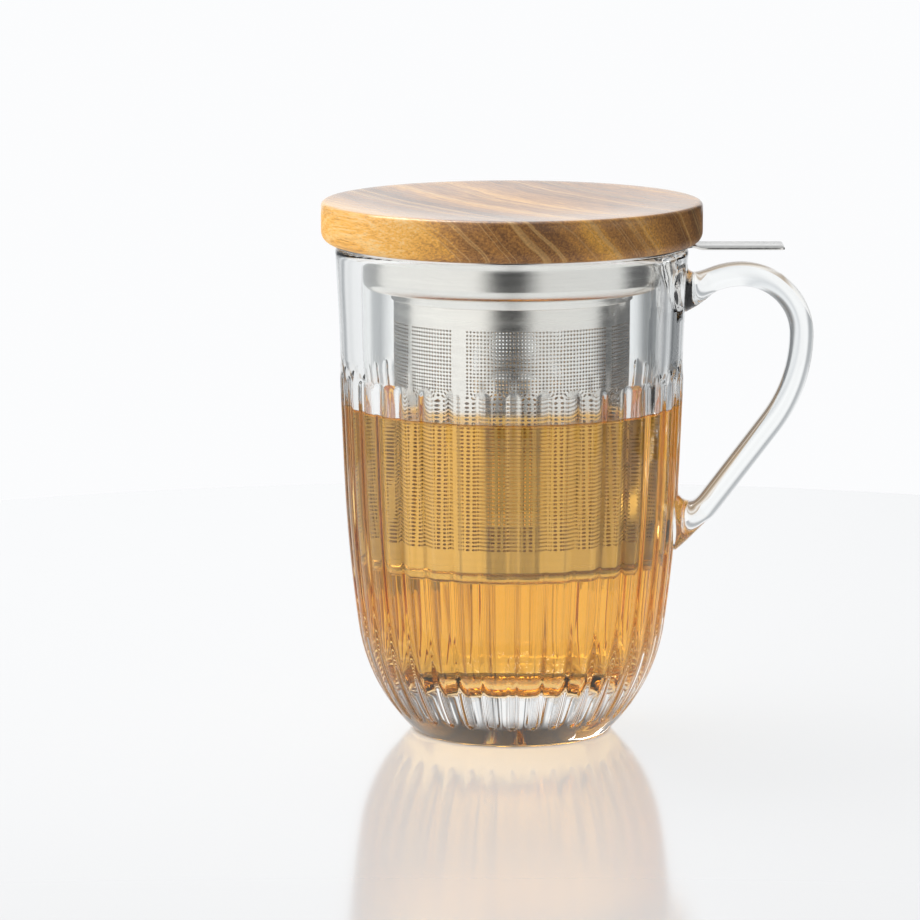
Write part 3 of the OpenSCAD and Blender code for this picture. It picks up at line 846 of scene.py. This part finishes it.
room = {
    "radius": 0.36,                       # of the table, in metres
    "seen": 0.75,                         # how much of its light is its own, seen or mirrored
    "through": 0.97,                      # the same, seen through glass
    "white": (0.95, 0.955, 0.965),
    "matt": (0.86, 0.865, 0.875),
    "gloss": 0.12,                        # roughness of its sheen
    "mirror": 1.5,                        # strength of its sheen
    "ior": 1.45,
    "footShadowReach": 0.04,                    # distance from the axis where the row of painted contact shadow below ends
    # painted contact shadow where the foot stands: place from the axis, tone
    "foot": [(0.0, 1), (0.46, 0.9), (0.49, 0.02), (0.57, 0.02), (0.62, 1), (1.0, 1)],
    # painted refraction: tones that rays through glass see on the table round the mug, in place of the
    # surroundings; place round the axis, colour
    "paintedRefraction": [
        (0.0, (1, 1, 1)), (0.03, (1, 1, 0.99)), (0.06, (0.75, 0.72, 0.68)), (0.075, (1, 1, 1)),
        (0.11, (1, 1, 1)), (0.125, (0.6, 0.55, 0.5)), (0.14, (0.95, 0.95, 0.94)),
        (0.25, (1, 1, 1)), (0.47, (1, 1, 1)), (0.5, (0.7, 0.7, 0.7)), (0.53, (1, 1, 1)),
        (0.75, (0.95, 0.95, 0.95)), (0.86, (0.6, 0.55, 0.5)), (0.885, (0.12, 0.07, 0.04)),
        (0.9, (0.4, 0.3, 0.2)), (0.915, (0.14, 0.08, 0.04)), (0.932, (0.65, 0.55, 0.45)),
        (0.945, (0.28, 0.2, 0.12)), (0.957, (0.6, 0.5, 0.4)), (0.967, (0.95, 0.92, 0.88)),
        (0.976, (0.5, 0.4, 0.3)), (0.984, (0.95, 0.93, 0.9)), (1.0, (1, 1, 1))],
}


def makeFloor():
    work = bmesh.new()
    bmesh.ops.create_circle(work, cap_ends=True, segments=96, radius=room["radius"] / mm)
    table = makeObject("tableTop", work, 30)
    material, tree, output = newMaterial("paleTable")
    path = addNode(tree, "ShaderNodeLightPath")
    straight = mathNode(tree, "MAXIMUM", path.outputs["Is Camera Ray"], path.outputs["Is Glossy Ray"])
    through = path.outputs["Is Transmission Ray"]
    seen = mathNode(tree, "MAXIMUM", mathNode(tree, "MULTIPLY", room["seen"], straight),
                    mathNode(tree, "MULTIPLY", room["through"], through))
    place = addNode(tree, "ShaderNodeSeparateXYZ",
                    Vector=addNode(tree, "ShaderNodeTexCoord").outputs["Object"])
    # painted contact shadow: the table is dark in a ring where the foot stands, in its glow and in its
    # diffuse colour
    ring = rampNode(tree, mathNode(tree, "MULTIPLY", axisDistance(tree, place), 1 / room["footShadowReach"]),
                    [(spot, grey(value)) for spot, value in room["foot"]])
    # painted refraction: rays through glass see the table in darker and lighter tones round the axis
    paintedRefraction = rampNode(tree, turnRound(tree, place), room["paintedRefraction"])
    colour = mixColours(tree, through, room["white"], paintedRefraction)
    colour = mixColours(tree, 1.0, ring, colour, "MULTIPLY")
    shade = mixColours(tree, 1.0, ring, room["matt"], "MULTIPLY")
    matt = addNode(tree, "ShaderNodeBsdfDiffuse", Color=shade)
    pale = addNode(tree, "ShaderNodeEmission", Color=colour, Strength=1.0)
    top = mixShaders(tree, seen, matt, pale)
    gloss = addNode(tree, "ShaderNodeBsdfGlossy", Color=(1, 1, 1, 1), Roughness=room["gloss"])
    angle = addNode(tree, "ShaderNodeFresnel", IOR=room["ior"])
    # the table mirrors a little, but not for what is seen through glass
    mirror = mathNode(tree, "MULTIPLY", mathNode(tree, "MULTIPLY", angle.outputs[0], room["mirror"]),
                      mathNode(tree, "SUBTRACT", 1.0, through))
    polished = mixShaders(tree, mirror, top, gloss)
    tree.links.new(polished.outputs[0], output.inputs["Surface"])
    table.data.materials.append(material)


# rows of panels round the object: degrees from the front, brightness, blue lean
rows = {
    "metalLow": [(-180, 0.95, 0.01), (-166, 0.92, 0.02), (-158, 0.24, 0.05), (-116, 0.25, 0.04),
                 (-106, 0.95, -0.01), (-26, 1.0, -0.02), (-11, 0.05, 0.0), (7, 0.05, 0.0),
                 (22, 0.83, -0.01), (84, 0.85, 0.0), (96, 0.03, 0.06), (158, 0.04, 0.06),
                 (166, 0.8, 0.02), (180, 0.95, 0.01)],
    "glassLow": [(-180, 0.97, 0.01), (-170, 0.95, 0.01), (-166, 0.45, 0.04), (-162, 0.5, 0.04),
                 (-158, 0.92, 0.01), (-100, 0.95, 0.01), (-30, 0.9, 0.0), (0, 0.4, 0.0),
                 (60, 0.75, 0.0), (125, 0.8, 0.0), (136, 0.3, 0.05), (143, 0.8, 0.02),
                 (149, 0.2, 0.05), (164, 0.22, 0.05), (168, 0.9, 0.02), (173, 0.75, 0.03),
                 (177, 0.97, 0.01), (180, 0.97, 0.01)],
    "metalHigh": [(-180, 0.5, 0.02), (-140, 0.3, 0.02), (-110, 0.5, 0.0), (-80, 1.0, 0.0),
                  (-30, 0.8, 0.0), (-10, 0.2, 0.0), (20, 0.4, 0.0), (80, 0.5, 0.0),
                  (110, 0.2, 0.0), (140, 0.1, 0.02), (165, 0.35, 0.02), (180, 0.5, 0.02)],
    "glassHigh": [(-180, 0.04, 0.01), (-140, 0.1, 0.02), (-110, 0.5, 0.0), (-80, 1.0, 0.0),
                  (-30, 0.8, 0.0), (-10, 0.2, 0.0), (20, 0.4, 0.0), (80, 0.5, 0.0),
                  (110, 0.2, 0.0), (140, 0.06, 0.02), (180, 0.04, 0.02)],
    "soft": [(-180, 0.75, 0.02), (-140, 0.9, 0.0), (-115, 2.0, -0.02), (-70, 2.0, -0.02),
             (-40, 0.7, 0.0), (0, 0.3, 0.0), (110, 0.3, 0.02), (150, 0.6, 0.02),
             (180, 0.75, 0.02)],
}
# where the low rows give way to the high ones and these to the top, in degrees above the table
sky = {"metalSplit": (13.5, 17.5), "glassSplit": (22, 30), "topSplit": (66, 76),
       "top": (1.0, 1.0, 1.0), "backdrop": (0.97, 0.975, 0.985)}


def makeWorld():
    world = bpy.data.worlds.new("studio")
    bpy.context.scene.world = world
    world.use_nodes = True
    tree = world.node_tree
    tree.nodes.clear()
    output = tree.nodes.new("ShaderNodeOutputWorld")
    split = addNode(tree, "ShaderNodeSeparateXYZ",
                    Vector=addNode(tree, "ShaderNodeTexCoord").outputs["Generated"])
    place = turnRound(tree, split)
    rise = mathNode(tree, "DIVIDE", mathNode(tree, "ARCSINE", split.outputs[2]), pi / 180)
    row = {name: rampNode(tree, place, [(angle / 360 + 0.5, (v * (1 - b), v, v * (1 + b)))
                                        for angle, v, b in stops])
           for name, stops in rows.items()}

    def above(ends):
        part = addNode(tree, "ShaderNodeMapRange", {"interpolation_type": "SMOOTHSTEP"},
                       Value=rise, From_Min=ends[0], From_Max=ends[1])
        return part.outputs[0]

    # a mirrored ray sees the metal rows if it has passed no wall of glass or tea, or more than
    # two, as a ray from the steel inside has; every other ray sees the glass rows
    path = addNode(tree, "ShaderNodeLightPath")
    fewWalls = mathNode(tree, "COMPARE", path.outputs["Transmission Depth"], 1.5, 1.1)
    onMetal = mathNode(tree, "MULTIPLY", mathNode(tree, "GREATER_THAN", path.outputs["Glossy Depth"], 0.5),
                       mathNode(tree, "SUBTRACT", 1.0, fewWalls))
    metal = mixColours(tree, above(sky["metalSplit"]), row["metalLow"], row["metalHigh"])
    clear = mixColours(tree, above(sky["glassSplit"]), row["glassLow"], row["glassHigh"])
    panels = mixColours(tree, onMetal, clear, metal)
    panels = mixColours(tree, above(sky["topSplit"]), panels, sky["top"])
    lit = addNode(tree, "ShaderNodeBackground", Color=row["soft"], Strength=1.0)
    shown = addNode(tree, "ShaderNodeBackground", Color=panels, Strength=1.0)
    white = addNode(tree, "ShaderNodeBackground", Color=(*sky["backdrop"], 1), Strength=1.0)
    seen = mathNode(tree, "MAXIMUM", path.outputs["Is Glossy Ray"], path.outputs["Is Transmission Ray"])
    around = mixShaders(tree, seen, lit, shown)
    whole = mixShaders(tree, path.outputs["Is Camera Ray"], around, white)
    tree.links.new(whole.outputs[0], output.inputs["Surface"])


topLamp = {"place": (-0.35, 0.45, 1.05), "aim": (0, 0, 0.08), "size": (0.8, 0.6),
           "power": 8.0, "colour": (1, 0.99, 0.97)}
camera = {"place": (-0.0125, -1.2, 0.263), "aim": (-0.0125, 0, 0.066), "lens": 195.9,
          "sensor": 36, "bounces": 32, "glossyBounces": 8}


def makeLamp():
    data = bpy.data.lights.new("topLamp", "AREA")
    data.shape = "RECTANGLE"
    data.size, data.size_y = topLamp["size"]
    data.energy = topLamp["power"]
    data.color = topLamp["colour"]
    setUp(bpy.data.objects.new("topLamp", data), topLamp["place"], topLamp["aim"])


makeFloor()
makeWorld()
makeLamp()

eye = bpy.data.objects.new("camera", bpy.data.cameras.new("camera"))
eye.data.lens = camera["lens"]
eye.data.sensor_width = camera["sensor"]
setUp(eye, camera["place"], camera["aim"])
scene = bpy.context.scene
scene.camera = eye
scene.view_settings.view_transform = "Standard"
scene.cycles.max_bounces = camera["bounces"]
scene.cycles.transmission_bounces = camera["bounces"]
scene.cycles.transparent_max_bounces = camera["bounces"]
scene.cycles.glossy_bounces = camera["glossyBounces"]

print("room, lamp and camera set")
